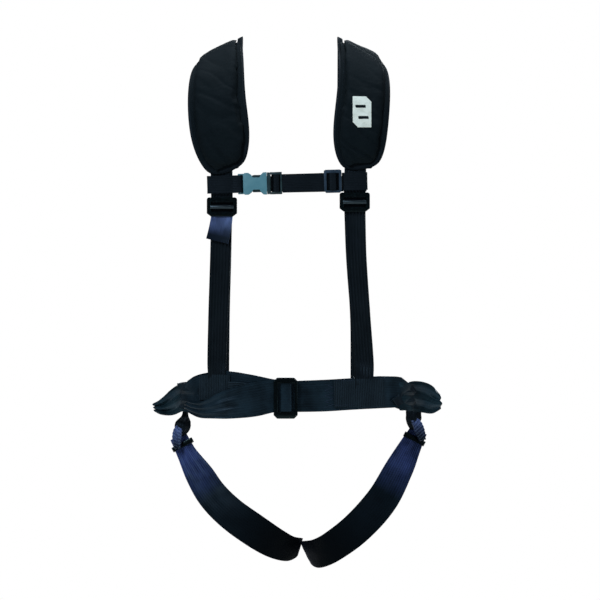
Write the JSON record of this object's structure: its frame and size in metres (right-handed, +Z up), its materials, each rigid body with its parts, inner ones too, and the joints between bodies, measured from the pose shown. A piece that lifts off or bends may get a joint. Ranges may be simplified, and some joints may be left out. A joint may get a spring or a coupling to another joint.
{
  "type": "safety harness vest",
  "caption": "Full-body safety harness with padded shoulder straps, a buckled chest strap, a waist belt and two leg loops.",
  "frame": {"origin": "below the middle of the harness, level with its lowest webbing", "axes": "+Z up along the wearer's back, +Y towards the wearer's back, +X to the wearer's left"},
  "size_m": [0.413, 0.238, 0.7542],
  "materials": {
    "pad_cloth": "matt woven nylon, faintly teal black",
    "foam": "closed-cell foam, hidden",
    "binding_tape": "matt grosgrain edge tape",
    "ribbed_webbing": "ribbed polyester webbing, slight sheen",
    "flat_webbing": "plain close-woven webbing",
    "sleeve_webbing": "fine ribbed sleeve webbing",
    "satin_webbing": "smooth seat-belt webbing with a blue sheen",
    "black_metal": "gloss black coated steel",
    "bar_metal": "worn black coated steel bar",
    "buckle_plastic": "moulded acetal, grey-teal",
    "glide_plastic": "moulded acetal, blue-grey",
    "badge_vinyl": "moulded off-white rubber patch"
  },
  "bodies": {
    "root": {"pad_cover_right": "pad_cloth", "pad_foam_right": "foam", "pad_binding_right": "binding_tape", "shoulder_web_right": "ribbed_webbing", "friction_frame_right": "black_metal", "front_strap_right": "ribbed_webbing", "chest_loop_right": "flat_webbing", "belt_sleeve_right": "sleeve_webbing", "hip_side_right": "satin_webbing", "hip_fold_right": "satin_webbing", "pad_cover_left": "pad_cloth", "pad_foam_left": "foam", "pad_binding_left": "binding_tape", "shoulder_web_left": "ribbed_webbing", "friction_frame_left": "black_metal", "front_strap_left": "ribbed_webbing", "chest_loop_left": "flat_webbing", "belt_sleeve_left": "sleeve_webbing", "hip_side_left": "satin_webbing", "hip_fold_left": "satin_webbing", "pad_badge": "badge_vinyl", "strap_tail_right": "satin_webbing", "buckle_female": "buckle_plastic", "chest_web": "flat_webbing", "belt_left": "satin_webbing", "belt_right_under": "satin_webbing", "belt_right_over": "satin_webbing", "belt_back": "satin_webbing", "back_yoke": "flat_webbing", "tether_loop": "flat_webbing"},
    "friction_bar_right": {"friction_bar_right": "bar_metal", "strap_turn_right": "ribbed_webbing"},
    "leg_loop_right": {"hip_link_right": "flat_webbing", "leg_tail_right": "satin_webbing", "leg_front_right": "satin_webbing", "leg_rear_right": "satin_webbing"},
    "leg_adjuster_right": {"leg_adjuster_right": "black_metal"},
    "friction_bar_left": {"friction_bar_left": "bar_metal", "strap_turn_left": "ribbed_webbing"},
    "leg_loop_left": {"hip_link_left": "flat_webbing", "leg_tail_left": "satin_webbing", "leg_front_left": "satin_webbing", "leg_rear_left": "satin_webbing"},
    "leg_adjuster_left": {"leg_adjuster_left": "black_metal"},
    "buckle_plug": {"buckle_male": "buckle_plastic", "buckle_male_wrap": "flat_webbing"},
    "prong_upper": {"buckle_prong_upper": "buckle_plastic"},
    "prong_lower": {"buckle_prong_lower": "buckle_plastic"},
    "tri_glide": {"tri_glide_frame": "glide_plastic", "tri_glide_wrap": "flat_webbing"},
    "waist_buckle": {"waist_buckle_frame": "black_metal", "waist_buckle_wrap": "satin_webbing"}
  },
  "joints": [
    {"name": "friction_bar_right_slide", "type": "slide", "parent": "root", "child": "friction_bar_right", "axis": [0, 0, 1], "range_m": [-0.002, 0]},
    {"name": "friction_bar_left_slide", "type": "slide", "parent": "root", "child": "friction_bar_left", "axis": [0, 0, 1], "range_m": [-0.002, 0]},
    {"name": "leg_loop_right_swing", "type": "hinge", "parent": "root", "child": "leg_loop_right", "pos_m": [-0.1627, -0.00594, 0.214], "axis": [1, 0, 0], "range_deg": [-35, 25]},
    {"name": "leg_loop_left_swing", "type": "hinge", "parent": "root", "child": "leg_loop_left", "pos_m": [0.166, -0.0059, 0.216], "axis": [1, 0, 0], "range_deg": [-35, 25]},
    {"name": "leg_adjuster_right_slide", "type": "slide", "parent": "leg_loop_right", "child": "leg_adjuster_right", "axis": [0.4654, -0.1763, -0.8674], "range_m": [-0.004, 0.004]},
    {"name": "leg_adjuster_left_slide", "type": "slide", "parent": "leg_loop_left", "child": "leg_adjuster_left", "axis": [-0.4543, -0.1747, -0.8736], "range_m": [-0.004, 0.004]},
    {"name": "buckle_release", "type": "slide", "parent": "root", "child": "buckle_plug", "axis": [0.9997, 0, 0.0244], "range_m": [0, 0.034], "deforming": ["chest_web"]},
    {"name": "prong_upper_squeeze", "type": "hinge", "parent": "buckle_plug", "child": "prong_upper", "pos_m": [-0.04529, -0.1095, 0.55241], "axis": [0, -1, 0], "range_deg": [0, 11], "stiffness_Nm_per_rad": 0.2},
    {"name": "prong_lower_squeeze", "type": "hinge", "parent": "buckle_plug", "child": "prong_lower", "pos_m": [-0.04489, -0.1095, 0.53642], "axis": [0, 1, 0], "range_deg": [0, 11], "stiffness_Nm_per_rad": 0.2},
    {"name": "tri_glide_slide", "type": "slide", "parent": "root", "child": "tri_glide", "axis": [0.9997, 0, 0.0244], "range_m": [-0.02, 0]},
    {"name": "waist_buckle_slide", "type": "slide", "parent": "root", "child": "waist_buckle", "axis": [1, 0, 0], "range_m": [-0.01, 0.01]}
  ],
  "couplings": [
    {"joint": "prong_lower_squeeze", "follows": "prong_upper_squeeze", "ratio": 1}
  ]
}
